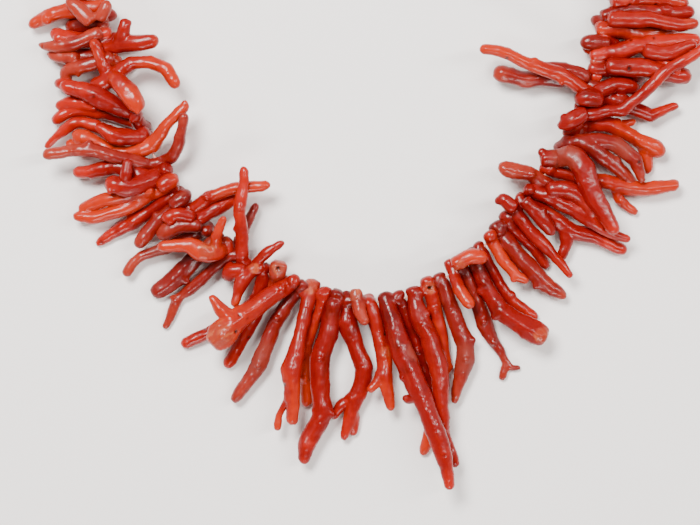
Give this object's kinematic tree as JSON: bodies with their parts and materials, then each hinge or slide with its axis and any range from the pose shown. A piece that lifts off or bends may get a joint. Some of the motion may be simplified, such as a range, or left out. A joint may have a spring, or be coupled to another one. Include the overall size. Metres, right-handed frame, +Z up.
{
  "type": "red coral branch necklace",
  "caption": "Necklace of polished natural red coral branches strung side by side on one thread, laid flat in a loop.",
  "frame": {"origin": "on the table, under the middle of the laid-out necklace's bounding box", "axes": "+Z up from the table; +Y from the front of the loop towards the clasp; +X to the right, seen from above"},
  "size_m": [0.1772, 0.2046, 0.0139],
  "materials": {
    "coral_red": "polished natural red coral",
    "coral_orange": "polished natural coral, orange red towards the tips",
    "coral_rose": "polished natural coral, deep rose with pale growth marks",
    "thread": "twisted pale beading thread",
    "clasp": "polished gold-coloured barrel clasp"
  },
  "bodies": {
    "root": {"branch_left_01": "coral_orange", "branch_left_02": "coral_red", "branch_left_03": "coral_red", "branch_left_04": "coral_red", "branch_left_05": "coral_orange", "branch_left_06": "coral_rose", "branch_left_07": "coral_red", "branch_left_08": "coral_orange", "branch_left_09": "coral_red", "branch_left_10": "coral_rose", "branch_left_11": "coral_orange", "branch_left_12": "coral_red", "branch_left_13": "coral_rose", "branch_left_14": "coral_rose", "branch_left_15": "coral_orange", "branch_left_16": "coral_rose", "branch_left_17": "coral_red", "branch_left_18": "coral_orange", "branch_left_19": "coral_red", "branch_left_20": "coral_rose", "branch_left_21": "coral_orange", "branch_front_01": "coral_rose", "branch_front_02": "coral_orange", "branch_front_03": "coral_orange", "branch_front_04": "coral_red", "branch_front_05": "coral_red", "branch_front_06": "coral_rose", "branch_front_07": "coral_orange", "branch_front_08": "coral_red", "branch_front_09": "coral_red", "branch_front_10": "coral_orange", "branch_front_11": "coral_orange", "branch_front_12": "coral_rose", "branch_right_01": "coral_orange", "branch_right_02": "coral_rose", "branch_right_03": "coral_red", "branch_right_04": "coral_red", "branch_right_05": "coral_orange", "branch_right_06": "coral_rose", "branch_right_07": "coral_red", "branch_right_08": "coral_red", "branch_right_09": "coral_red", "branch_right_10": "coral_red", "branch_right_11": "coral_rose", "branch_right_12": "coral_orange", "branch_right_13": "coral_red", "branch_right_14": "coral_rose", "branch_right_15": "coral_orange", "branch_right_16": "coral_red", "branch_right_17": "coral_red", "branch_right_18": "coral_orange", "branch_right_19": "coral_rose", "upper_branches_left_1": "coral_red", "upper_branches_left_2": "coral_red", "upper_branches_left_3": "coral_red", "upper_branches_right_1": "coral_red", "upper_branches_right_2": "coral_red", "thread": "thread", "clasp_half_left": "clasp", "clasp_half_right": "clasp"}
  },
  "joints": []
}
